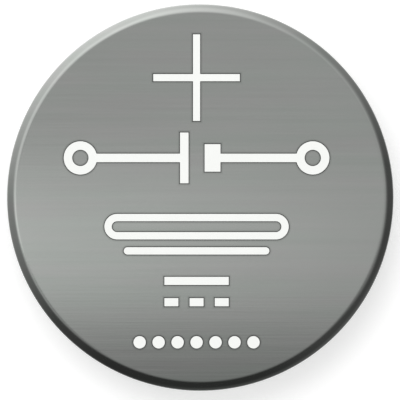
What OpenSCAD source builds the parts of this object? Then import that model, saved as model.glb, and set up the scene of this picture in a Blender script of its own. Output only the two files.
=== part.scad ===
// Lithium coin cell, lying positive face up. The cell's axis is Z and its negative face rests on Z = 0.
// Every formed piece is a revolved section: a sheet follows a mid-line with bends, and what seats
// against it is drawn from the same line.

/* [Cell] */
// Diameter over the can's wall
cell_d = 20; // [18:0.1:24]
// Height from the negative face to the positive face
cell_h = 3.2; // [3:0.05:4]

/* [Positive can] */
// Thickness of the can's sheet
can_t = 0.25; // [0.2:0.01:0.3]
// Outer radius of the edge round the positive face
can_edge_r = 0.53; // [0.4:0.01:0.7]
// Outer radius of the bend that closes the can over the gasket
crimp_r = 0.8; // [0.7:0.02:0.9]
// How far the crimp turns inward from the wall, in degrees
crimp_angle = 65; // [58:1:70]
// Straight lip past the crimp's bend
lip_l = 0.25; // [0.15:0.01:0.35]
// How far the lip stays back from the negative face
lip_setback = 0.2; // [0.15:0.01:0.3]

/* [Negative cap] */
// Thickness of the cap's sheet
cap_t = 0.25; // [0.2:0.01:0.3]
// Height of the step from the negative face to the shoulder
cap_step = 0.62; // [0.55:0.01:0.7]
// Outer radius of the edge round the negative face
cap_edge_r = 0.4; // [0.35:0.01:0.45]
// Outer radius of the bend from the shoulder to the skirt
cap_shoulder_r = 0.45; // [0.4:0.01:0.5]
// Width of the shoulder, from the step's wall to the skirt
shoulder_w = 0.92; // [0.85:0.01:1.2]
// Lean of the step's wall, in degrees
step_lean = 14; // [5:1:20]

/* [Gasket] */
// Thickness of the gasket between the can's wall and the cap's skirt
gasket_wall = 0.4; // [0.36:0.01:0.5]
// Thickness of the gasket between the skirt's end and the can's floor
gasket_base = 0.5; // [0.35:0.05:0.6]
// Thickness of the gasket's leg inside the skirt
gasket_leg_t = 0.5; // [0.3:0.05:0.7]
// Height of the skirt that the leg covers
gasket_leg_h = 0.4; // [0.2:0.05:0.6]
// How far the gasket shows past the can's lip
gasket_peek = 0.12; // [0.05:0.01:0.15]

/* [Electrodes] */
// Clearance round the lithium disc, to the step's wall
lithium_gap = 0.3; // [0.25:0.05:0.6]
// Thickness of the separator
separator_t = 0.2; // [0.1:0.01:0.3]
// Clearance round the separator, to the skirt
separator_gap = 0.3; // [0.3:0.05:0.6]
// Clearance round the cathode ring, to the gasket's leg
ring_gap = 0.55; // [0.3:0.05:0.8]
// Thickness of the cathode ring's sheet
ring_t = 0.2; // [0.15:0.01:0.25]
// Outer radius of the cathode ring's bend
ring_bend_r = 0.3; // [0.26:0.01:0.4]
// Width of the cathode ring's flange, measured in from the ring's outside
ring_flange_w = 0.9; // [0.7:0.05:1.5]
// How far the ring's wall stops short of the separator
ring_setback = 0.15; // [0.1:0.05:0.3]
// Chamfer on the cathode pellet's free edge
pellet_chamfer = 0.1; // [0.05:0.01:0.14]

/* [Face marks] */
// Offset of every mark from the cell's axis, to the right
marks_x = -0.19; // [-0.5:0.01:0.5]
// Length of the plus sign's bars
plus_l = 4.55; // [3:0.05:5]
// Width of the plus sign's bars
plus_w = 0.45; // [0.3:0.01:0.6]
// Bare margin from the end of the plus sign to the edge of the flat face
plus_margin = 1.0; // [0.8:0.01:1.2]
// Length over the cell symbol's two terminal rings
symbol_l = 13.8; // [12:0.1:14]
// Width of the cell symbol's leads and rings
symbol_w = 0.52; // [0.3:0.01:0.6]
// Outer diameter of the cell symbol's terminal rings
symbol_ring_d = 1.8; // [1.5:0.1:2]
// Height of the cell symbol's long plate
long_plate_h = 2.7; // [2:0.1:3]
// Height of the cell symbol's short plate
short_plate_h = 1.5; // [1:0.1:2]
// Width of the cell symbol's short plate
short_plate_w = 0.9; // [0.6:0.05:1.2]
// Gap between the cell symbol's plates
plate_gap = 0.75; // [0.5:0.05:1.2]
// Height of the cell symbol's centre over the cell's axis
symbol_y = 2.05; // [1.9:0.05:2.1]
// Length of the coin pictogram, a cell seen from the side
coin_l = 9.6; // [7:0.1:11]
// Height of the coin pictogram's outlined can
coin_h = 1.4; // [1.25:0.05:1.45]
// Width of the can's outline and of the bar below it
coin_w = 0.46; // [0.3:0.01:0.5]
// Gap between the can's outline and the bar below it
coin_gap = 0.32; // [0.25:0.01:0.35]
// How much shorter the bar is at each end
coin_bar_inset = 1.0; // [0.5:0.1:2]
// Height of the can's centre under the cell's axis
coin_y = 1.5; // [1.45:0.05:1.6]
// Length of the direct-current sign's bar
dc_l = 3.4; // [2.5:0.1:4]
// Width of the direct-current sign's bar and dashes
dc_w = 0.5; // [0.3:0.01:0.55]
// Gap from the direct-current sign's bar to its dashes
dc_gap = 0.6; // [0.4:0.05:0.7]
// Gap from dash to dash
dash_gap = 0.5; // [0.3:0.05:0.6]
// Height of the direct-current sign's bar under the cell's axis
dc_y = 4.3; // [4.2:0.05:4.5]
// Number of dots in the bottom row
dot_count = 7; // [3:2:9]
// Diameter of a dot
dot_d = 0.72; // [0.4:0.01:0.8]
// Distance from dot to dot
dot_pitch = 0.98; // [0.95:0.01:1.05]
// Bare margin from the row of dots to the edge of the flat face
dot_margin = 1.64; // [1.5:0.01:1.9]
// Depth of the marks' recesses in the positive face
mark_depth = 0.04; // [0.02:0.01:0.08]
// How far the white filling stays below the positive face
ink_setback = 0.01; // [0.005:0.005:0.015]
// Bare margin between a recess's wall and its white filling
ink_margin = 0.04; // [0.02:0.01:0.1]

/* [Hidden] */

// Steps in each bend of a section
arc_steps = 10;
$fn = 144;
// Room that a cut runs past the face it opens
cut_past = 0.1;

steel = [0.56, 0.575, 0.56];
polypropylene = [0.86, 0.87, 0.84];
lithium_grey = [0.78, 0.79, 0.82];
separator_white = [0.94, 0.94, 0.92];
cathode_black = [0.09, 0.09, 0.1];
ink_white = [0.97, 0.975, 0.96];

// Face marks: the plus sign and the dots keep their margins to the edge of the flat face
face_flat_r = cell_d / 2 - can_edge_r;
plus_y = face_flat_r - plus_margin - plus_l / 2;
dot_y = face_flat_r - dot_margin - dot_d / 2;

// Can: its mid-line, and the faces that other pieces seat against
can_mid_r = cell_d / 2 - can_t / 2;
can_floor_z = cell_h - can_t;
crimp_start_z = lip_setback + crimp_r * sin(crimp_angle) + lip_l * cos(crimp_angle);
crimp_mid_r = crimp_r - can_t / 2;
crimp_tangent = crimp_mid_r * tan(crimp_angle / 2);
crimp_corner = [can_mid_r, crimp_start_z - crimp_tangent];
lip_direction = [-sin(crimp_angle), -cos(crimp_angle)];
lip_end = crimp_corner + (crimp_tangent + lip_l) * lip_direction;

// Cap: its mid-line, and the faces that other pieces seat against
cap_mid = cap_t / 2;
skirt_r = cell_d / 2 - can_t - gasket_wall;
skirt_end_z = can_floor_z - gasket_base;
shoulder_mid_z = cap_mid + cap_step;
shoulder_in_z = shoulder_mid_z + cap_mid;
neck_r = skirt_r - cap_mid - shoulder_w;
face_corner_r = neck_r - cap_step * tan(step_lean);

// Gasket: inside of the leg, and where the leg ends
leg_r = skirt_r - cap_t - gasket_leg_t;
leg_end_z = skirt_end_z - gasket_leg_h;

// Electrodes: they fill the height between the cap's floor and the can's
lithium_r = face_corner_r - cap_mid - lithium_gap;
separator_z = shoulder_in_z;
cathode_z = separator_z + separator_t;
ring_r = leg_r - ring_gap;
ring_in_r = ring_r - ring_t;
flange_in_r = ring_r - ring_flange_w;

// Mid-lines, each from its first end to its last: [radius, height, bend radius at that corner]
can_path = [
    [0, cell_h - can_t / 2, 0],
    [can_mid_r, cell_h - can_t / 2, can_edge_r - can_t / 2],
    [crimp_corner.x, crimp_corner.y, crimp_mid_r],
    [lip_end.x, lip_end.y, 0]
];
cap_path = [
    [0, cap_mid, 0],
    [face_corner_r, cap_mid, cap_edge_r - cap_mid],
    [neck_r, shoulder_mid_z, cap_edge_r - cap_mid],
    [skirt_r - cap_mid, shoulder_mid_z, cap_shoulder_r - cap_mid],
    [skirt_r - cap_mid, skirt_end_z, 0]
];
ring_path = [
    [flange_in_r, can_floor_z - ring_t / 2, 0],
    [ring_r - ring_t / 2, can_floor_z - ring_t / 2, ring_bend_r - ring_t / 2],
    [ring_r - ring_t / 2, cathode_z + ring_setback, 0]
];

function point(corner) = [corner[0], corner[1]];
function heading(from, to) = atan2(to[1] - from[1], to[0] - from[0]);
function turn(before, after) =
    let (angle = after - before)
    angle > 180 ? angle - 360 : angle < -180 ? angle + 360 : angle;
function left_of(angle) = [-sin(angle), cos(angle)];
function backward(list) = [for (i = [len(list) - 1 : -1 : 0]) list[i]];
function last(list, count) = [for (i = [len(list) - count : len(list) - 1]) list[i]];

// Places along one bend, each a point on the mid-line and the heading there
function bend(from, corner, to) =
    let (
        before = heading(from, corner),
        angle = turn(before, heading(corner, to)),
        way = sign(angle),
        start = point(corner) - corner[2] * tan(abs(angle) / 2) * [cos(before), sin(before)],
        centre = start + way * corner[2] * left_of(before)
    )
    [for (i = [0 : arc_steps])
        let (now = before + angle * i / arc_steps)
        [centre - way * corner[2] * left_of(now), now]];

// Places along a whole mid-line: its first end, its bends and its last end
function places(path) =
    let (n = len(path))
    concat(
        [[point(path[0]), heading(path[0], path[1])]],
        [for (i = [1 : n - 2]) each bend(path[i - 1], path[i], path[i + 1])],
        [[point(path[n - 1]), heading(path[n - 2], path[n - 1])]]
    );

// One face of a sheet, that far to the left of its mid-line, or to the right if negative
function face(path, shift) = [for (p = places(path)) p[0] + shift * left_of(p[1])];
function sheet_section(path, thickness) =
    concat(face(path, thickness / 2), backward(face(path, -thickness / 2)));

can_inside = face(can_path, -can_t / 2);
cap_outside = face(cap_path, -cap_mid);
ring_inside = face(ring_path, -ring_t / 2);

module revolved(section) {
    rotate_extrude() polygon(section);
}

module bar(length, width, grow) {
    square([length + 2 * grow, width + 2 * grow], center = true);
}

// A bar with round ends
module pill(length, width, grow) {
    square([length - width, width + 2 * grow], center = true);
    for (side = [-1, 1])
        translate([side * (length - width) / 2, 0]) circle(d = width + 2 * grow);
}

module plus_sign(grow) {
    for (turned = [0, 90])
        rotate(turned) bar(plus_l, plus_w, grow);
}

// One cell in a circuit drawing: a long plate and a short thick one between leads with ring ends
module cell_symbol(grow) {
    lead_in = plate_gap / 2 + symbol_w;
    short_in = plate_gap / 2 + short_plate_w;
    ring_x = (symbol_l - symbol_ring_d) / 2;
    lead_out = ring_x - symbol_ring_d / 2 + symbol_w / 2;
    translate([-plate_gap / 2 - symbol_w / 2, 0]) bar(symbol_w, long_plate_h, grow);
    translate([plate_gap / 2 + short_plate_w / 2, 0]) bar(short_plate_w, short_plate_h, grow);
    lead(-lead_out, -lead_in + symbol_w / 2, grow);
    lead(short_in - symbol_w / 2, lead_out, grow);
    for (side = [-1, 1])
        translate([side * ring_x, 0]) terminal_ring(grow);
}

module lead(from_x, to_x, grow) {
    translate([from_x, -symbol_w / 2 - grow]) square([to_x - from_x, symbol_w + 2 * grow]);
}

module terminal_ring(grow) {
    difference() {
        circle(d = symbol_ring_d + 2 * grow);
        circle(d = symbol_ring_d - 2 * symbol_w - 2 * grow);
    }
}

// A coin cell seen from the side: the can in outline and its cap below
module coin_pictogram(grow) {
    difference() {
        pill(coin_l, coin_h, grow);
        pill(coin_l - 2 * coin_w, coin_h - 2 * coin_w, -grow);
    }
    translate([0, -coin_h / 2 - coin_gap - coin_w / 2])
        pill(coin_l - 2 * coin_bar_inset, coin_w, grow);
}

// Direct current: a bar above three dashes
module direct_current_sign(grow) {
    dash_l = (dc_l - 2 * dash_gap) / 3;
    bar(dc_l, dc_w, grow);
    for (i = [-1 : 1])
        translate([i * (dash_l + dash_gap), -dc_w - dc_gap]) bar(dash_l, dc_w, grow);
}

module dot_row(grow) {
    for (i = [0 : dot_count - 1])
        translate([(i - (dot_count - 1) / 2) * dot_pitch, 0]) circle(d = dot_d + 2 * grow);
}

// All marks of the positive face, grown or shrunk by the same amount on every side
module marks(grow) {
    translate([marks_x, 0]) {
        translate([0, plus_y]) plus_sign(grow);
        translate([0, symbol_y]) cell_symbol(grow);
        translate([0, -coin_y]) coin_pictogram(grow);
        translate([0, -dc_y]) direct_current_sign(grow);
        translate([0, -dot_y]) dot_row(grow);
    }
}

// Drawn steel cup whose edge is rolled in over the gasket, with the marks pressed into its face
module positive_can() {
    color(steel)
    difference() {
        revolved(sheet_section(can_path, can_t));
        translate([0, 0, cell_h - mark_depth]) linear_extrude(mark_depth + cut_past) marks(0);
    }
}

// White filling of the pressed marks
module face_marks() {
    color(ink_white)
    translate([0, 0, cell_h - mark_depth]) linear_extrude(mark_depth - ink_setback) marks(-ink_margin);
}

// Stepped steel cap: the negative face, a shoulder under the crimp, and a skirt in the gasket
module negative_cap() {
    color(steel) revolved(sheet_section(cap_path, cap_t));
}

// Moulded ring that fills the room between can and cap and wraps the skirt's end
module sealing_gasket() {
    color(polypropylene)
    revolved(concat(
        [[leg_r, can_floor_z]],
        last(can_inside, len(can_inside) - 1),
        [can_inside[len(can_inside) - 1] + gasket_peek * lip_direction],
        last(cap_outside, arc_steps + 2),
        [[skirt_r - cap_t, skirt_end_z], [skirt_r - cap_t, leg_end_z], [leg_r, leg_end_z]]
    ));
}

// Lithium disc pressed on the cap's floor, level with the shoulder's inside
module lithium_anode() {
    color(lithium_grey)
    translate([0, 0, cap_t]) cylinder(h = separator_z - cap_t, r = lithium_r);
}

// Fibre disc that lies across the lithium and the shoulder
module separator() {
    color(separator_white)
    translate([0, 0, separator_z]) cylinder(h = separator_t, r = skirt_r - cap_t - separator_gap);
}

// Pressed manganese dioxide pellet, seated in the ring and on the can's floor
module cathode_pellet() {
    color(cathode_black)
    revolved(concat(
        [[0, can_floor_z], [flange_in_r, can_floor_z]],
        ring_inside,
        [
            [ring_in_r, cathode_z + pellet_chamfer],
            [ring_in_r - pellet_chamfer, cathode_z],
            [0, cathode_z]
        ]
    ));
}

// L-shaped steel ring that holds the pellet and touches the can's floor
module cathode_ring() {
    color(steel) revolved(sheet_section(ring_path, ring_t));
}

positive_can();
face_marks();
negative_cap();
sealing_gasket();
lithium_anode();
separator();
cathode_pellet();
cathode_ring();
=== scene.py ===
"""Lithium coin cell, positive face up, seen straight from above on a white floor."""
import math

import bmesh
import bpy
from mathutils import Matrix, Vector
from mathutils.geometry import delaunay_2d_cdt


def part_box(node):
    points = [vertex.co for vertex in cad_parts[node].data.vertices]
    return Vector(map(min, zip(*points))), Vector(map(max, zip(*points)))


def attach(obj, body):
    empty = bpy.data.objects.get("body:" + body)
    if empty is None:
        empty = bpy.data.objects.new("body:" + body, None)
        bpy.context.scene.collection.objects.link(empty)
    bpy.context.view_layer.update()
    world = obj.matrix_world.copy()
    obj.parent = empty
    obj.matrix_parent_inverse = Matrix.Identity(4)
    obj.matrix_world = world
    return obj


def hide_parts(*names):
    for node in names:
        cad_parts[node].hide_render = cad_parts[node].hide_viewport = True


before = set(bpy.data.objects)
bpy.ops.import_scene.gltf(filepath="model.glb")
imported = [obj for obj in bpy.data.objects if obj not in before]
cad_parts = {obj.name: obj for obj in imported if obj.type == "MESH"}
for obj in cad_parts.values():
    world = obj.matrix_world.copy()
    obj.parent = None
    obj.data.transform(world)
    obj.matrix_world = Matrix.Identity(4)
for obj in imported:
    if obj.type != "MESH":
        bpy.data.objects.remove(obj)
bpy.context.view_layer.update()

# All sizes are in millimetres, and are turned into metres when a mesh, a light or a camera is made
MM = 0.001

# Can
CELL_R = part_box("positive_can")[1].x / MM
CELL_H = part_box("positive_can")[1].z / MM
CAN_T = 0.25
CAN_EDGE_R = 0.53
CRIMP_R = 0.8
CRIMP_ANGLE = math.radians(65)
LIP_L = 0.25
LIP_SETBACK = 0.2
# The flat face's outer strip belongs to the turned section, so that the edge's shading starts level
FLAT_STRIP = 0.05
FLAT_R = CELL_R - CAN_EDGE_R - FLAT_STRIP

# Cap
CAP_T = 0.25
CAP_STEP = 0.62
CAP_EDGE_R = 0.4
CAP_SHOULDER_R = 0.45
SHOULDER_W = 0.92
STEP_LEAN = math.radians(14)

# Gasket
GASKET_WALL = 0.4
GASKET_BASE = 0.5
GASKET_LEG_T = 0.5
GASKET_LEG_H = 0.4
GASKET_PEEK = 0.12

# Marks on the positive face
MARKS_X = -0.19
PLUS_L = 4.55
PLUS_W = 0.45
PLUS_MARGIN = 1.0
SYMBOL_L = 13.8
SYMBOL_W = 0.52
SYMBOL_RING_D = 1.8
LONG_PLATE_H = 2.7
SHORT_PLATE_H = 1.5
SHORT_PLATE_W = 0.9
PLATE_GAP = 0.75
SYMBOL_Y = 2.05
COIN_L = 9.6
COIN_H = 1.4
COIN_W = 0.46
COIN_GAP = 0.32
COIN_BAR_INSET = 1.0
COIN_Y = -1.5
DC_L = 3.4
DC_W = 0.5
DC_GAP = 0.6
DASH_GAP = 0.5
DC_Y = -4.3
DOT_COUNT = 7
DOT_D = 0.72
DOT_PITCH = 0.98
DOT_MARGIN = 1.64
MARK_DEPTH = 0.04
INK_SETBACK = 0.01
INK_MARGIN = 0.04
# Width of the painted shade round each recess
PAINTED_SHADE_W = 0.1

# Zones of the divided face, and the can's material slots
BARE, MARGIN, INKED = 0, 1, 2
STEEL_SLOT, ETCH_SLOT = 0, 1

# Mesh fineness
LATHE_STEPS = 288
BEND_STEP = math.radians(3)
DISC_STEPS = 72
STAGE_STEPS = 96
SHARP_ANGLE = math.radians(30)

# Distances that count as none: between vertices, from the axis, between outline points, from the floor
WELD = 1e-5
ON_AXIS = 1e-6
SAME_POINT = 1e-6
ON_FLOOR = 1e-4

# Materials: a grain is in noise cycles for each millimetre along X, Y and Z, and a relief is its depth.
# Colours are shares of light sent back. Tones, shades and roughness go from the low end of a noise's
# span to its high end, and this is the usual span
NOISE_SPAN = (0.3, 0.7)
# Heights of the surface's normal on a sloped and on a level place
LEVEL_SPAN = (0.90, 0.995)

# Can: straight brushing on the face and drawn lines, which stand out more, on the wall
STEEL = (0.380, 0.394, 0.379)
CAN_SHADES = (0.95, 1.05)
CAN_ROUGH = (0.13, 0.19)
CAN_RELIEF = 0.0012
BRUSHING = (0.12, 9.0, 9.0)
FINE_BRUSHING = (0.5, 34.0, 34.0)
BROAD_BRUSHING = (0.05, 2.6, 2.6)
CLOUDING = (0.16, 0.22, 0.22)
DRAWN_LINES = (0.25, 0.25, 16.0)
DRAWN_RELIEF = 2.5
# Faint casts that the rolled sheet's colour drifts between, along the brushing
CAST_DRIFT = (0.1, 0.9, 0.9)
CAST_SPAN = (0.35, 0.65)
COOL_CAST = (0.982, 1.004, 0.99)
WARM_CAST = (1.014, 0.997, 1.006)
# What is left of the steel's tone right at a mark's edge, under the painted shade that fades out round each
# recess
PAINTED_SHADE_LEFT = 0.78

# Etched recesses
ETCH = (0.09, 0.093, 0.09)
ETCH_SHADES = (0.8, 1.3)
ETCH_ROUGH = (0.5, 0.65)
ETCH_RELIEF = 0.002
ETCH_PITS = (14.0, 14.0, 14.0)

# Ink
INK_TONES = ((0.93, 0.945, 0.92), (0.965, 0.98, 0.955))
INK_ROUGH = (0.5, 0.62)
INK_RELIEF = 0.001
INK_GRAIN = (26.0, 26.0, 26.0)
INK_CLOUD = (0.7, 0.7, 0.7)

# Cap's steel: a stipple on the level faces and turned lines on the step
CAP_STEEL = (0.44, 0.445, 0.44)
CAP_SHADES = (0.93, 1.07)
CAP_ROUGH = (0.27, 0.35)
CAP_RELIEF = 0.006
CAP_PEEL = (5.0, 5.0, 5.0)
CAP_STIPPLE = (24.0, 24.0, 24.0)

# Cathode ring's steel
RING_SHADES = (0.9, 1.1)
RING_ROUGH = (0.28, 0.38)
RING_RELIEF = 0.002
RING_LINES = (0.3, 0.3, 18.0)

# Gasket's plastic, and how deep light goes into it for red, green and blue
PLASTIC_TONES = ((0.68, 0.69, 0.65), (0.80, 0.81, 0.77))
PLASTIC_ROUGH = (0.4, 0.52)
PLASTIC_RELIEF = 0.003
PLASTIC_GRAIN = (9.0, 9.0, 9.0)
PLASTIC_FLOW = (0.5, 0.5, 2.5)
MILKINESS = 0.2
MILKY_DEPTH = (0.6, 0.6, 0.5)

# Lithium
LITHIUM_TONES = ((0.46, 0.47, 0.50), (0.66, 0.67, 0.71))
LITHIUM_SPAN = (0.35, 0.65)
LITHIUM_ROUGH = (0.38, 0.6)
LITHIUM_RELIEF = 0.003
LITHIUM_MOTTLE = (0.9, 0.9, 0.9)
LITHIUM_LINES = (0.2, 11.0, 2.0)

# Separator's fibres, which lie along X and along Y
FIBRE_TONES = ((0.72, 0.72, 0.70), (0.88, 0.88, 0.86))
FIBRE_SPAN = (0.4, 0.7)
FIBRE_ROUGH = 0.9
FIBRE_RELIEF = 0.012
FIBRES_ALONG_X = (1.2, 22.0, 4.0)
FIBRES_ALONG_Y = (22.0, 1.2, 4.0)

# Cathode's powder
POWDER_TONES = ((0.008, 0.008, 0.009), (0.035, 0.035, 0.038))
POWDER_SPAN = (0.3, 0.75)
POWDER_ROUGH = (0.6, 0.85)
POWDER_RELIEF = 0.01
POWDER_GRAINS = (11.0, 11.0, 11.0)
POWDER_DUST = (5.0, 5.0, 5.0)

# Camera: the photograph's frame is this wide, and the cell sits a little above and right of its middle
FRAME_W = 20.695
AIM_X = -0.013
AIM_Y = -0.123
LENS = 450.0
SENSOR = 36.0
CLIP_START = 1.0

# Floor
FLOOR_R = 1500.0
FLOOR_TONES = ((0.90, 0.90, 0.90), (0.92, 0.92, 0.92))
FLOOR_GRAIN = (0.02, 0.02, 0.02)
FLOOR_TOP_UP = 0.3

# Surround and lamp
SURROUND = 0.76
KEY_AZIMUTH = 115.0
KEY_ZENITH = 32.0
KEY_SIZE = 240.0
KEY_DISTANCE = 300.0
KEY_POWER = 0.29

# Tent: brightness near the horizon against the cosine of the angle from the key's azimuth
TENT_R = 53.0
TENT_STOPS = ((-1.0, 0.7), (0.0, 0.9), (1.0, 1.2))
# Its roof: degrees from the top within which it is whole and at which it ends, and its level
ROOF_SPAN = (24, 50)
OVERHEAD = 0.682
# A lighter band across the roof: where it comes in, by Y, how bright it is, and how much brighter it gets
# to the left, with the Y that each slope holds at
BAND_IN = (-0.025, 0.08)
BAND_GLOW = 0.26
BAND_SLOPES = ((-0.09, 0.73), (-0.18, 0.22))
# Two dusks towards -Y: where each starts and ends, by Y, and the share of light that it leaves
DUSKS = ((-0.085, -0.2, 0.38), (-0.24, -0.34, 0.62))

# The low card round the rim: its gap, and how far it reaches below and above the positive face
CARD_GAP = 0.5
CARD_BELOW = 2.5
CARD_ABOVE = 5.6
# Its brightness against the cosine of the angle from the key's azimuth
CARD_STOPS = ((-1.0, 0.057), (-0.6, 0.057), (-0.26, 0.108), (-0.09, 0.203), (0.26, 0.414),
              (0.42, 0.5), (0.71, 0.85), (0.82, 1.055), (0.91, 1.235), (1.0, 1.46))
# What changes round the card: an azimuth, the cosines from it between which it comes in, and its most.
# First how much taller the card stands, and how much taller its lit strip stands besides
CARD_RISES = ((270, 0.42, 0.93, 1.85), (65, 0.5, 0.95, -0.5), (92, 0.9, 1.0, -0.3),
              (200, 0.85, 1.0, 0.35), (227, 0.955, 1.0, -0.4))
STRIP_RISE = (142, 0.85, 1.0, 0.9)
# Then the strip's glow, a light spill on the whole card, and one on its foot
STRIP_GLOW = (150, -0.2, 0.9, 0.38)
CARD_SPILL = (338, 0.64, 0.985, 0.058)
FOOT_SPILL = (300, 0.6, 0.95, 0.065)
# Heights between which the card fades in and out, its lit strip does too, and the foot's spill ends
CARD_IN = (0.9, 2.7)
CARD_END = (3.6, 5.7)
STRIP_IN = (3.6, 4.4)
STRIP_END = (4.9, 7.6)
FOOT_END = (2.75, 3.3)


def heading(start, end):
    return math.atan2(end[1] - start[1], end[0] - start[0])


def turn(before, after):
    return (after - before + math.pi) % (2 * math.pi) - math.pi


def left_of(angle):
    return Vector((-math.sin(angle), math.cos(angle)))


def bend(start, corner, end):
    """Places along the bend at a corner of a sheet's mid-line, each a point and the heading there."""
    before = heading(start, corner)
    angle = turn(before, heading(corner, end))
    way = math.copysign(1, angle)
    along = Vector((math.cos(before), math.sin(before)))
    first = Vector(corner[:2]) - corner[2] * math.tan(abs(angle) / 2) * along
    centre = first + way * corner[2] * left_of(before)
    steps = math.ceil(abs(angle) / BEND_STEP)
    headings = [before + angle * i / steps for i in range(steps + 1)]
    return [(centre - way * corner[2] * left_of(h), h) for h in headings]


def places(path):
    """Places along a whole mid-line, given as corners of (radius, height, bend radius)."""
    middle = [place for i in range(1, len(path) - 1) for place in bend(*path[i - 1:i + 2])]
    first = (Vector(path[0][:2]), heading(path[0], path[1]))
    last = (Vector(path[-1][:2]), heading(path[-2], path[-1]))
    return [first, *middle, last]


def face(path, shift):
    """One face of a sheet, that far to the left of its mid-line, or to the right if negative."""
    return [point + shift * left_of(angle) for point, angle in places(path)]


def lip_direction():
    return Vector((-math.sin(CRIMP_ANGLE), -math.cos(CRIMP_ANGLE)))


def can_path():
    rise = LIP_SETBACK + CRIMP_R * math.sin(CRIMP_ANGLE) + LIP_L * math.cos(CRIMP_ANGLE)
    mid_r = CRIMP_R - CAN_T / 2
    tangent = mid_r * math.tan(CRIMP_ANGLE / 2)
    wall_r = CELL_R - CAN_T / 2
    corner = Vector((wall_r, rise - tangent))
    end = corner + (tangent + LIP_L) * lip_direction()
    return [
        (0, CELL_H - CAN_T / 2, 0),
        (wall_r, CELL_H - CAN_T / 2, CAN_EDGE_R - CAN_T / 2),
        (*corner, mid_r),
        (*end, 0),
    ]


def skirt_radius():
    return CELL_R - CAN_T - GASKET_WALL


def skirt_end():
    return CELL_H - CAN_T - GASKET_BASE


def cap_path():
    mid = CAP_T / 2
    skirt_mid_r = skirt_radius() - mid
    neck_r = skirt_mid_r - SHOULDER_W
    corner_r = neck_r - CAP_STEP * math.tan(STEP_LEAN)
    return [
        (0, mid, 0),
        (corner_r, mid, CAP_EDGE_R - mid),
        (neck_r, mid + CAP_STEP, CAP_EDGE_R - mid),
        (skirt_mid_r, mid + CAP_STEP, CAP_SHOULDER_R - mid),
        (skirt_mid_r, skirt_end(), 0),
    ]


def sheet_section(path, thickness):
    return face(path, thickness / 2) + face(path, -thickness / 2)[::-1]


def gasket_section():
    """The room between the can's inside and the cap's outside, and the leg inside the skirt."""
    can_floor = CELL_H - CAN_T
    inner_r = skirt_radius() - CAP_T
    leg_r = inner_r - GASKET_LEG_T
    leg_end = skirt_end() - GASKET_LEG_H
    can_inside = face(can_path(), -CAN_T / 2)[1:]
    cap_outside = face(cap_path(), -CAP_T / 2)
    # The last places of the cap's outside, which are its shoulder's bend and its skirt's end
    shoulder_places = math.ceil(math.radians(90) / BEND_STEP) + 2
    return [
        Vector((leg_r, can_floor)),
        *can_inside,
        can_inside[-1] + GASKET_PEEK * lip_direction(),
        *cap_outside[-shoulder_places:],
        Vector((inner_r, skirt_end())),
        Vector((inner_r, leg_end)),
        Vector((leg_r, leg_end)),
    ]


def circle(x, y, radius, steps):
    angles = [2 * math.pi * i / steps for i in range(steps)]
    return [(x + radius * math.cos(a), y + radius * math.sin(a)) for a in angles]


def ring_points(bm, radius, height):
    """One ring of a lathe's vertices, or a single vertex on the axis."""
    if radius < ON_AXIS:
        return [bm.verts.new((0, 0, height))]
    return [bm.verts.new((x, y, height)) for x, y in circle(0, 0, radius, LATHE_STEPS)]


def add_lathe(bm, section, closed=True):
    """Turns a section round the axis. An open section's ends aren't joined."""
    rings = [ring_points(bm, point.x, point.y) for point in section]
    pairs = list(zip(rings, rings[1:]))
    if closed:
        pairs.append((rings[-1], rings[0]))
    for a, b in pairs:
        if len(a) == len(b) == 1:
            continue
        for i in range(LATHE_STEPS):
            j = (i + 1) % LATHE_STEPS
            corners = [a[i % len(a)], a[j % len(a)], b[j % len(b)], b[i % len(b)]]
            bm.faces.new(list(dict.fromkeys(corners))).smooth = True


def make_object(bm, name):
    """Turns a mesh drawn in millimetres into an object in metres."""
    bmesh.ops.transform(bm, matrix=Matrix.Scale(MM, 4), verts=bm.verts)
    mesh = bpy.data.meshes.new(name)
    bm.to_mesh(mesh)
    bm.free()
    made = bpy.data.objects.new(name, mesh)
    bpy.context.scene.collection.objects.link(made)
    return made


def finish_piece(bm, name):
    """Closes up a mesh, and makes it a piece with its sharp edges marked."""
    bmesh.ops.remove_doubles(bm, verts=bm.verts, dist=WELD)
    bmesh.ops.recalc_face_normals(bm, faces=bm.faces)
    piece = make_object(bm, name)
    piece.data.set_sharp_from_angle(angle=SHARP_ANGLE)
    return piece


def bar(x, y, length, width, grow):
    """A straight bar as an outline, grown by the same amount on every side."""
    a, b = length / 2 + grow, width / 2 + grow
    return [(x - a, y - b), (x + a, y - b), (x + a, y + b), (x - a, y + b)]


def disc(x, y, diameter, grow):
    return circle(x, y, diameter / 2 + grow, DISC_STEPS)


def pill(x, y, length, width, grow):
    """A bar with round ends, as one outline."""
    reach, r = (length - width) / 2, width / 2 + grow
    half = DISC_STEPS // 2
    ends = [(side, math.pi * i / half - side * math.pi / 2) for side in (1, -1) for i in range(half + 1)]
    return [(x + side * reach + r * math.cos(a), y + r * math.sin(a)) for side, a in ends]


def plus_sign(grow):
    y = CELL_R - CAN_EDGE_R - PLUS_MARGIN - PLUS_L / 2
    return [bar(0, y, PLUS_L, PLUS_W, grow), bar(0, y, PLUS_W, PLUS_L, grow)], []


def lead(from_x, to_x, grow):
    """A lead of the cell symbol. Its ends lie inside other pieces of the symbol, so they don't grow."""
    a, b, w = from_x, to_x, SYMBOL_W / 2 + grow
    return [(a, SYMBOL_Y - w), (b, SYMBOL_Y - w), (b, SYMBOL_Y + w), (a, SYMBOL_Y + w)]


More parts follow.
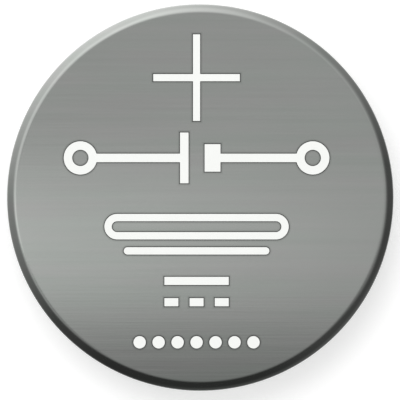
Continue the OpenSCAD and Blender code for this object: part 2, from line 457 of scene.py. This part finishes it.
def cell_symbol(grow):
    """One cell of a circuit drawing: long plate, short thick plate, leads with ring ends."""
    ring_x = (SYMBOL_L - SYMBOL_RING_D) / 2
    lead_out = ring_x - SYMBOL_RING_D / 2 + SYMBOL_W / 2
    long_x = -PLATE_GAP / 2 - SYMBOL_W / 2
    short_x = PLATE_GAP / 2 + SHORT_PLATE_W / 2
    right_in = short_x + SHORT_PLATE_W / 2 - SYMBOL_W / 2
    solid = [
        bar(long_x, SYMBOL_Y, SYMBOL_W, LONG_PLATE_H, grow),
        bar(short_x, SYMBOL_Y, SHORT_PLATE_W, SHORT_PLATE_H, grow),
        lead(-lead_out, long_x, grow),
        lead(right_in, lead_out, grow),
    ]
    solid += [disc(side * ring_x, SYMBOL_Y, SYMBOL_RING_D, grow) for side in (-1, 1)]
    inner = SYMBOL_RING_D - 2 * SYMBOL_W
    return solid, [disc(side * ring_x, SYMBOL_Y, inner, -grow) for side in (-1, 1)]


def coin_pictogram(grow):
    """A coin cell seen from the side: the can in outline and its cap below."""
    bar_y = COIN_Y - COIN_H / 2 - COIN_GAP - COIN_W / 2
    solid = [
        pill(0, COIN_Y, COIN_L, COIN_H, grow),
        pill(0, bar_y, COIN_L - 2 * COIN_BAR_INSET, COIN_W, grow),
    ]
    return solid, [pill(0, COIN_Y, COIN_L - 2 * COIN_W, COIN_H - 2 * COIN_W, -grow)]


def direct_current_sign(grow):
    dash_l = (DC_L - 2 * DASH_GAP) / 3
    dash_y = DC_Y - DC_W - DC_GAP
    dashes = [bar(i * (dash_l + DASH_GAP), dash_y, dash_l, DC_W, grow) for i in (-1, 0, 1)]
    return [bar(0, DC_Y, DC_L, DC_W, grow), *dashes], []


def dot_row(grow):
    y = -(CELL_R - CAN_EDGE_R - DOT_MARGIN - DOT_D / 2)
    middle = (DOT_COUNT - 1) / 2
    return [disc((i - middle) * DOT_PITCH, y, DOT_D, grow) for i in range(DOT_COUNT)], []


def mark_outlines(grow):
    """Every mark's solid outlines and the holes in them, moved to the marks' own centre line."""
    solid, holes = [], []
    for mark in (plus_sign, cell_symbol, coin_pictogram, direct_current_sign, dot_row):
        more_solid, more_holes = mark(grow)
        solid += more_solid
        holes += more_holes
    return [[[(x + MARKS_X, y) for x, y in line] for line in group] for group in (solid, holes)]


def zone_inside(names):
    """The zone of a triangle that lies inside the outlines of these names."""
    if "ink" in names and "ink_hole" not in names:
        return INKED
    if "recess" in names and "recess_hole" not in names:
        return MARGIN
    return BARE


def divide_face(radius):
    """Triangles of the flat face, each with its zone. The outlines of the painted shade round the marks
    divide only the bare zone.
    """
    recess, recess_holes = mark_outlines(0)
    ink, ink_holes = mark_outlines(-INK_MARGIN)
    # Outlines at which the painted shade round the marks has faded out
    tint, tint_holes = mark_outlines(PAINTED_SHADE_W)
    groups = {
        "rim": [circle(0, 0, radius, LATHE_STEPS)],
        "recess": recess,
        "recess_hole": recess_holes,
        "ink": ink,
        "ink_hole": ink_holes,
        "tint": tint + tint_holes,
    }
    points, loops, names = [], [], []
    for name, lines in groups.items():
        for line in lines:
            loops.append(list(range(len(points), len(points) + len(line))))
            points += [Vector(p) for p in line]
            names.append(name)
    verts, _, faces, _, _, sources = delaunay_2d_cdt(points, [], loops, 1, SAME_POINT)
    return verts, faces, [zone_inside({names[k] for k in source}) for source in sources]


def add_level(bm, verts, faces, height, slot=0):
    """A flat patch of the divided face at one height."""
    made = {}
    for tri in faces:
        for i in tri:
            if i not in made:
                made[i] = bm.verts.new((*verts[i], height))
        bm.faces.new([made[i] for i in tri]).material_index = slot


def add_step(bm, verts, faces, top, bottom, slot=0):
    """Upright walls along the border of a set of the divided face's triangles."""
    count = {}
    for tri in faces:
        for a, b in zip(tri, [*tri[1:], tri[0]]):
            key = (min(a, b), max(a, b))
            count[key] = count.get(key, 0) + 1
    for (a, b), times in count.items():
        if times == 1:
            corners = [(*verts[a], top), (*verts[b], top), (*verts[b], bottom), (*verts[a], bottom)]
            bm.faces.new([bm.verts.new(c) for c in corners]).material_index = slot


def shade_recess_edges(mesh):
    """The mask of the painted shade: a value of 1 at each recess's edge, which falls to 0 at the next outline
    round it.
    """
    tint = mesh.attributes.new("heat_tint", "FLOAT", "POINT")
    for polygon in mesh.polygons:
        if polygon.material_index == ETCH_SLOT:
            for i in polygon.vertices:
                tint.data[i].value = 1.0


def make_can(divided):
    """The can: its turned section, and its face with the marks' recesses."""
    verts, faces, zones = divided
    bare = [f for f, zone in zip(faces, zones) if zone == BARE]
    sunk = [f for f, zone in zip(faces, zones) if zone != BARE]
    section = sheet_section(can_path(), CAN_T)
    # The divided face takes the place of the section's flat top
    section[0] = Vector((FLAT_R, CELL_H))
    floor = CELL_H - MARK_DEPTH
    bm = bmesh.new()
    add_lathe(bm, section, closed=False)
    add_level(bm, verts, bare, CELL_H, STEEL_SLOT)
    add_level(bm, verts, sunk, floor, ETCH_SLOT)
    add_step(bm, verts, sunk, CELL_H, floor, ETCH_SLOT)
    can = finish_piece(bm, "can_shell")
    # Painted shade along the recesses' edges is laid on as a mask
    shade_recess_edges(can.data)
    return can


def make_ink(divided):
    """The white filling of the recesses, with its bare margin all round."""
    verts, faces, zones = divided
    filled = [f for f, zone in zip(faces, zones) if zone == INKED]
    top, bottom = CELL_H - INK_SETBACK, CELL_H - MARK_DEPTH
    bm = bmesh.new()
    add_level(bm, verts, filled, top)
    add_level(bm, verts, filled, bottom)
    add_step(bm, verts, filled, top, bottom)
    return finish_piece(bm, "face_ink")


def make_turned(name, section):
    bm = bmesh.new()
    add_lathe(bm, section)
    return finish_piece(bm, name)


class Nodes:
    """Short calls for the node tree of one material."""

    def __init__(self, name):
        self.material = bpy.data.materials.new(name)
        self.material.use_nodes = True
        self.tree = self.material.node_tree
        self.tree.nodes.clear()
        self.place = self.tree.nodes.new("ShaderNodeTexCoord").outputs["Object"]

    def add(self, kind, inputs=None, **settings):
        """A node, with each input linked to a socket or set to a value."""
        node = self.tree.nodes.new("ShaderNode" + kind)
        for key, value in settings.items():
            setattr(node, key, value)
        for key, value in (inputs or {}).items():
            if isinstance(value, bpy.types.NodeSocket):
                self.tree.links.new(value, node.inputs[key])
            else:
                node.inputs[key].default_value = value
        return node

    def math(self, operation, a, b=0.0, clamp=False):
        return self.add("Math", {0: a, 1: b}, operation=operation, use_clamp=clamp).outputs[0]

    def vector(self, operation, a, b=(0, 0, 0)):
        return self.add("VectorMath", {0: a, 1: b}, operation=operation).outputs[0]

    def dot(self, a, b):
        return self.add("VectorMath", {0: a, 1: b}, operation="DOT_PRODUCT").outputs["Value"]

    def axis(self, vector, name):
        return self.add("SeparateXYZ", {0: vector}).outputs[name]

    def upright(self):
        """Height of the surface's normal: 1 on a level face that looks up."""
        return self.axis(self.add("NewGeometry").outputs["Normal"], "Z")

    def weighted(self, *parts):
        """A sum of values, each times its weight."""
        total, *rest = [self.math("MULTIPLY", value, weight) for value, weight in parts]
        for term in rest:
            total = self.math("ADD", total, term)
        return total

    def scaled(self, grain):
        """Object coordinates in a grain's cycles along X, Y and Z."""
        return self.vector("MULTIPLY", self.place, tuple(cycles / MM for cycles in grain))

    def noise(self, grain, detail=3.0, roughness=0.55):
        inputs = {"Vector": self.scaled(grain), "Scale": 1.0, "Detail": detail, "Roughness": roughness}
        return self.add("TexNoise", inputs).outputs["Fac"]

    def remap(self, value, low, high, to_low, to_high, smooth=False):
        inputs = {"Value": value, "From Min": low, "From Max": high, "To Min": to_low, "To Max": to_high}
        kind = "SMOOTHSTEP" if smooth else "LINEAR"
        return self.add("MapRange", inputs, interpolation_type=kind).outputs["Result"]

    def rise(self, value, span):
        """From 0 to 1, smoothly, as a value goes through a span."""
        return self.remap(value, *span, 0.0, 1.0, smooth=True)

    def fall(self, value, span):
        """From 1 to 0, smoothly, as a value goes through a span."""
        return self.remap(value, *span, 1.0, 0.0, smooth=True)

    def spread(self, noise, low, high, span=NOISE_SPAN):
        """A value that goes from low to high over a noise's span."""
        return self.remap(noise, *span, low, high)

    def mix(self, fac, a, b, kind):
        return self.add("Mix", {"Factor": fac, "A": a, "B": b}, data_type=kind).outputs["Result"]

    def tint(self, noise, dark, light, span=NOISE_SPAN):
        """A colour that goes from dark to light over a noise's span."""
        return self.mix(self.spread(noise, 0.0, 1.0, span), (*dark, 1), (*light, 1), "RGBA")

    def bump(self, height, depth):
        inputs = {"Height": height, "Distance": depth * MM, "Strength": 1.0}
        return self.add("Bump", inputs).outputs["Normal"]

    def glow(self, strength):
        return self.add("Emission", {"Color": (1, 1, 1, 1), "Strength": strength}).outputs[0]

    def both(self, a, b):
        return self.add("AddShader", {0: a, 1: b}).outputs[0]

    def surface(self, **inputs):
        """Ends a material with one physical shader."""
        shader = self.add("BsdfPrincipled", {key.replace("_", " "): value for key, value in inputs.items()})
        self.add("OutputMaterial", {"Surface": shader.outputs[0]})
        return self.material

    def stage_surface(self, shader):
        """Ends a stage material: its glow is seen and never sampled as a lamp."""
        self.add("OutputMaterial", {"Surface": shader})
        self.material.cycles.emission_sampling = "NONE"
        return self.material


def shade(base, low, high):
    """A darker and a lighter form of one colour."""
    return tuple(c * low for c in base), tuple(c * high for c in base)


def can_steel():
    """Bright rolled sheet: brushed on the face, drawn on the wall, and with painted shade round the marks."""
    n = Nodes("can_steel")
    level = n.rise(n.upright(), LEVEL_SPAN)
    streaks = n.noise(BRUSHING, detail=4.0, roughness=0.6)
    fine = n.noise(FINE_BRUSHING, detail=2.0)
    lines = n.noise(DRAWN_LINES)
    broad = n.noise(BROAD_BRUSHING, detail=2.0)
    cloud = n.noise(CLOUDING, detail=2.0)
    brushed = n.math("MULTIPLY", n.weighted((streaks, 0.7), (fine, 0.3)), level)
    drawn = n.math("MULTIPLY", lines, n.math("SUBTRACT", 1.0, level))
    grain = n.math("ADD", brushed, drawn)
    tone = n.weighted((grain, 0.4), (broad, 0.35), (cloud, 0.25))
    cast = n.tint(n.noise(CAST_DRIFT, detail=2.0), COOL_CAST, WARM_CAST, CAST_SPAN)
    colour = n.vector("MULTIPLY", n.tint(tone, *shade(STEEL, *CAN_SHADES)), cast)
    # Painted shade: the steel is darkened along each recess's edge and fades out a little way from it
    recess_shade = n.add("Attribute", attribute_name="heat_tint").outputs["Fac"]
    colour = n.vector("MULTIPLY", colour, n.remap(recess_shade, 0.0, 1.0, 1.0, PAINTED_SHADE_LEFT))
    relief = n.bump(n.math("ADD", brushed, n.math("MULTIPLY", drawn, DRAWN_RELIEF)), CAN_RELIEF)
    return n.surface(Base_Color=colour, Metallic=1.0, Roughness=n.spread(grain, *CAN_ROUGH), Normal=relief)


def etched_steel():
    """The recesses' floor and walls: a darker, matt etch."""
    n = Nodes("etched_steel")
    pits = n.noise(ETCH_PITS)
    colour = n.tint(pits, *shade(ETCH, *ETCH_SHADES))
    relief = n.bump(pits, ETCH_RELIEF)
    return n.surface(Base_Color=colour, Metallic=1.0, Roughness=n.spread(pits, *ETCH_ROUGH), Normal=relief)


def white_ink():
    n = Nodes("white_ink")
    grain = n.noise(INK_GRAIN, detail=2.0)
    cloud = n.noise(INK_CLOUD, detail=2.0)
    colour = n.tint(n.weighted((grain, 0.5), (cloud, 0.5)), *INK_TONES)
    roughness = n.spread(grain, *INK_ROUGH)
    return n.surface(Base_Color=colour, Roughness=roughness, Normal=n.bump(grain, INK_RELIEF))


def cap_steel():
    """The cap's sheet: a fine stipple on its face and turned lines on its step."""
    n = Nodes("cap_steel")
    level = n.rise(n.math("ABSOLUTE", n.upright()), LEVEL_SPAN)
    peel = n.noise(CAP_PEEL, detail=2.0, roughness=0.5)
    fine = n.noise(CAP_STIPPLE, detail=2.0)
    lines = n.noise(DRAWN_LINES)
    stipple = n.math("MULTIPLY", n.weighted((peel, 0.75), (fine, 0.25)), level)
    grain = n.math("ADD", stipple, n.math("MULTIPLY", lines, n.math("SUBTRACT", 1.0, level)))
    colour = n.tint(grain, *shade(CAP_STEEL, *CAP_SHADES))
    relief = n.bump(grain, CAP_RELIEF)
    return n.surface(Base_Color=colour, Metallic=1.0, Roughness=n.spread(grain, *CAP_ROUGH), Normal=relief)


def ring_steel():
    n = Nodes("ring_steel")
    grain = n.noise(RING_LINES)
    colour = n.tint(grain, *shade(STEEL, *RING_SHADES))
    relief = n.bump(grain, RING_RELIEF)
    return n.surface(Base_Color=colour, Metallic=1.0, Roughness=n.spread(grain, *RING_ROUGH), Normal=relief)


def polypropylene():
    """Natural moulded plastic, milky, with a faint flow grain."""
    n = Nodes("polypropylene")
    grain = n.noise(PLASTIC_GRAIN)
    flow = n.noise(PLASTIC_FLOW, detail=2.0)
    colour = n.tint(flow, *PLASTIC_TONES)
    roughness = n.spread(grain, *PLASTIC_ROUGH)
    depth = tuple(part * MM for part in MILKY_DEPTH)
    return n.surface(Base_Color=colour, Roughness=roughness, Normal=n.bump(grain, PLASTIC_RELIEF),
                     Subsurface_Weight=MILKINESS, Subsurface_Radius=depth, Subsurface_Scale=1.0)


def lithium_metal():
    """Soft dull foil with rolled lines and a mottled skin."""
    n = Nodes("lithium_metal")
    mottle = n.noise(LITHIUM_MOTTLE, detail=5.0, roughness=0.65)
    colour = n.tint(mottle, *LITHIUM_TONES, LITHIUM_SPAN)
    roughness = n.spread(mottle, *LITHIUM_ROUGH)
    relief = n.bump(n.noise(LITHIUM_LINES), LITHIUM_RELIEF)
    return n.surface(Base_Color=colour, Metallic=1.0, Roughness=roughness, Normal=relief)


def fibre_mat():
    """White non-woven mat: crossed long fibres."""
    n = Nodes("fibre_mat")
    fibres = n.math("MAXIMUM", n.noise(FIBRES_ALONG_X), n.noise(FIBRES_ALONG_Y))
    colour = n.tint(fibres, *FIBRE_TONES, FIBRE_SPAN)
    return n.surface(Base_Color=colour, Roughness=FIBRE_ROUGH, Normal=n.bump(fibres, FIBRE_RELIEF))


def cathode_mix():
    """Pressed black powder: fine grains in relief and a mottled tone."""
    n = Nodes("cathode_mix")
    cells = {"Vector": n.scaled(POWDER_GRAINS), "Scale": 1.0}
    grains = n.add("TexVoronoi", cells).outputs["Distance"]
    dust = n.noise(POWDER_DUST, detail=4.0)
    colour = n.tint(dust, *POWDER_TONES, POWDER_SPAN)
    roughness = n.spread(dust, *POWDER_ROUGH)
    return n.surface(Base_Color=colour, Roughness=roughness, Normal=n.bump(grains, POWDER_RELIEF))


def direction(azimuth, zenith):
    """A unit vector: azimuth in degrees from +X towards +Y, zenith in degrees down from +Z."""
    a, z = math.radians(azimuth), math.radians(zenith)
    return Vector((math.sin(z) * math.cos(a), math.sin(z) * math.sin(a), math.cos(z)))


def facing(n, azimuth):
    """Cosine of the angle, seen from above, between a place on the stage and an azimuth."""
    around = n.vector("NORMALIZE", n.vector("MULTIPLY", n.place, (1, 1, 0)))
    return n.dot(around, direction(azimuth, 90))


def swell(n, azimuth, low, high, most):
    """From 0, smoothly, to the most that it reaches towards an azimuth, between two cosines from it."""
    return n.remap(facing(n, azimuth), low, high, 0.0, most, smooth=True)


def graded(n, cosine, stops):
    """Brightness for a cosine from -1 to 1, between stops of (cosine, brightness)."""
    ramp = n.add("ValToRGB", {"Fac": n.remap(cosine, -1.0, 1.0, 0.0, 1.0)})
    elements = ramp.color_ramp.elements
    while len(elements) < len(stops):
        elements.new(0.5)
    for element, (place, value) in zip(elements, stops):
        element.position = (place + 1) / 2
        element.color = (value, value, value, 1)
    return ramp.outputs["Color"]


def overhead_glow(n, where):
    """The tent's roof: a lighter band across it, strongest at the left, and the dusks towards -Y."""
    across, up = n.axis(where, "X"), n.axis(where, "Y")
    (start, steep), (end, slight) = BAND_SLOPES
    slope = n.remap(up, start, end, steep, slight, smooth=True)
    strength = n.math("SUBTRACT", BAND_GLOW, n.math("MULTIPLY", across, slope))
    band = n.math("MULTIPLY", n.fall(up, BAND_IN), strength)
    roof = n.math("ADD", OVERHEAD, band)
    for start, end, left in DUSKS:
        roof = n.math("MULTIPLY", roof, n.remap(up, start, end, 1.0, left, smooth=True))
    return roof


def tent_cloth():
    """A graded light tent: brighter towards the key, and grey overhead."""
    n = Nodes("tent_cloth")
    where = n.vector("NORMALIZE", n.place)
    inner, outer = (math.cos(math.radians(angle)) for angle in ROOF_SPAN)
    overhead = n.rise(n.dot(where, direction(0, 0)), (outer, inner))
    horizon = graded(n, facing(n, KEY_AZIMUTH), TENT_STOPS)
    return n.stage_surface(n.glow(n.mix(overhead, horizon, overhead_glow(n, where), "FLOAT")))


def rim_card():
    """The low card round the rim: dark away from the key, faded at both edges, with a lit strip on top."""
    n = Nodes("rim_card")
    level = n.math("DIVIDE", n.axis(n.place, "Z"), MM)
    height = level
    for rise in CARD_RISES:
        height = n.math("SUBTRACT", height, swell(n, *rise))
    upper = n.math("SUBTRACT", height, swell(n, *STRIP_RISE))
    foot = n.math("MULTIPLY", n.fall(level, FOOT_END), swell(n, *FOOT_SPILL))
    spill = n.math("ADD", swell(n, *CARD_SPILL), foot)
    card = n.glow(n.math("ADD", graded(n, facing(n, KEY_AZIMUTH), CARD_STOPS), spill))
    dense = n.math("MULTIPLY", n.rise(level, CARD_IN), n.fall(height, CARD_END))
    clear = n.add("BsdfTransparent").outputs[0]
    body = n.add("MixShader", {"Fac": dense, 1: clear, 2: card}).outputs[0]
    strip = n.math("MULTIPLY", n.rise(height, STRIP_IN), n.fall(upper, STRIP_END))
    lit = n.glow(n.math("MULTIPLY", strip, swell(n, *STRIP_GLOW)))
    return n.stage_surface(n.both(body, lit))


def floor_white():
    """Plain white floor: a diffuse sheet that keeps its shadow, topped up to white where it is open."""
    n = Nodes("floor_white")
    colour = n.tint(n.noise(FLOOR_GRAIN, detail=2.0), *FLOOR_TONES, (0.0, 1.0))
    paint = n.add("BsdfDiffuse", {"Color": colour}).outputs[0]
    rays = n.add("LightPath").outputs
    seen = n.math("ADD", rays["Is Camera Ray"], rays["Is Glossy Ray"])
    seen = n.math("ADD", seen, rays["Is Transmission Ray"], clamp=True)
    return n.stage_surface(n.both(paint, n.glow(n.math("MULTIPLY", seen, FLOOR_TOP_UP))))


def stage_piece(bm, name, material):
    piece = make_object(bm, name)
    piece.data.materials.append(material)
    return piece


def show_in_gloss_only(piece):
    """A stage piece that shows in the metal alone: it neither lights nor hides anything else."""
    for ray in ("camera", "diffuse", "transmission", "volume_scatter", "shadow"):
        setattr(piece, "visible_" + ray, False)


def make_floor():
    bm = bmesh.new()
    bmesh.ops.create_circle(bm, cap_ends=True, segments=STAGE_STEPS, radius=FLOOR_R)
    stage_piece(bm, "floor", floor_white())


def make_tent():
    """The upper half of a sphere."""
    bm = bmesh.new()
    bmesh.ops.create_uvsphere(bm, u_segments=STAGE_STEPS, v_segments=STAGE_STEPS // 2, radius=TENT_R)
    below = [v for v in bm.verts if v.co.z < -ON_FLOOR]
    bmesh.ops.delete(bm, geom=below, context="VERTS")
    show_in_gloss_only(stage_piece(bm, "light_tent", tent_cloth()))


def make_rim_card():
    bm = bmesh.new()
    card = [Vector((CELL_R + CARD_GAP, z)) for z in (CELL_H - CARD_BELOW, CELL_H + CARD_ABOVE)]
    add_lathe(bm, card, closed=False)
    show_in_gloss_only(stage_piece(bm, "rim_card", rim_card()))


def make_surround():
    """A plain surround, which the camera and the metal see as white."""
    world = bpy.data.worlds.new("surround")
    world.use_nodes = True
    nodes, links = world.node_tree.nodes, world.node_tree.links
    background = nodes["Background"]
    background.inputs["Color"].default_value = (1, 1, 1, 1)
    rays = nodes.new("ShaderNodeLightPath")
    seen = nodes.new("ShaderNodeMath")
    seen.operation = "MAXIMUM"
    links.new(rays.outputs["Is Camera Ray"], seen.inputs[0])
    links.new(rays.outputs["Is Glossy Ray"], seen.inputs[1])
    mix = nodes.new("ShaderNodeMix")
    mix.inputs["A"].default_value = SURROUND
    mix.inputs["B"].default_value = 1.0
    links.new(seen.outputs[0], mix.inputs["Factor"])
    links.new(mix.outputs["Result"], background.inputs["Strength"])
    bpy.context.scene.world = world


def make_key_lamp():
    """One large soft lamp from the upper left, which doesn't show in the metal."""
    lamp = bpy.data.lights.new("key_softbox", "AREA")
    lamp.shape = "DISK"
    lamp.size = KEY_SIZE * MM
    lamp.energy = KEY_POWER
    key = bpy.data.objects.new("key_softbox", lamp)
    where = direction(KEY_AZIMUTH, KEY_ZENITH)
    key.location = where * KEY_DISTANCE * MM
    key.rotation_euler = where.to_track_quat("Z", "Y").to_euler()
    key.visible_glossy = False
    bpy.context.scene.collection.objects.link(key)


def make_camera():
    """A long lens straight above, which takes in the frame's width at the level of the outline."""
    data = bpy.data.cameras.new("camera")
    data.lens = LENS
    data.sensor_width = SENSOR
    data.clip_start = CLIP_START * MM
    camera = bpy.data.objects.new("camera", data)
    distance = FRAME_W * LENS / SENSOR
    camera.location = Vector((AIM_X, AIM_Y, CELL_H - CAN_EDGE_R + distance)) * MM
    bpy.context.scene.collection.objects.link(camera)
    bpy.context.scene.camera = camera


def dress(piece, node, slot, *materials):
    """A finer piece takes the place of a CAD node, with its own materials. The slot is not used."""
    for material in materials:
        piece.data.materials.append(material)
    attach(piece, "root")
    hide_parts(node)


def paint_node(name, material):
    """A CAD node keeps its shape and gets its own material."""
    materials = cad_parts[name].data.materials
    materials.clear()
    materials.append(material)


make_camera()
make_floor()
make_tent()
make_rim_card()
make_surround()
make_key_lamp()

divided_face = divide_face(FLAT_R)
dress(make_can(divided_face), "positive_can", "can_steel", can_steel(), etched_steel())
dress(make_ink(divided_face), "face_marks", "white_ink", white_ink())
dress(make_turned("cap_pressing", sheet_section(cap_path(), CAP_T)), "negative_cap", "cap_steel", cap_steel())
dress(make_turned("gasket_ring", gasket_section()), "sealing_gasket", "polypropylene", polypropylene())
paint_node("lithium_anode", lithium_metal())
paint_node("separator", fibre_mat())
paint_node("cathode_pellet", cathode_mix())
paint_node("cathode_ring", ring_steel())

bpy.context.scene.view_settings.view_transform = "Standard"
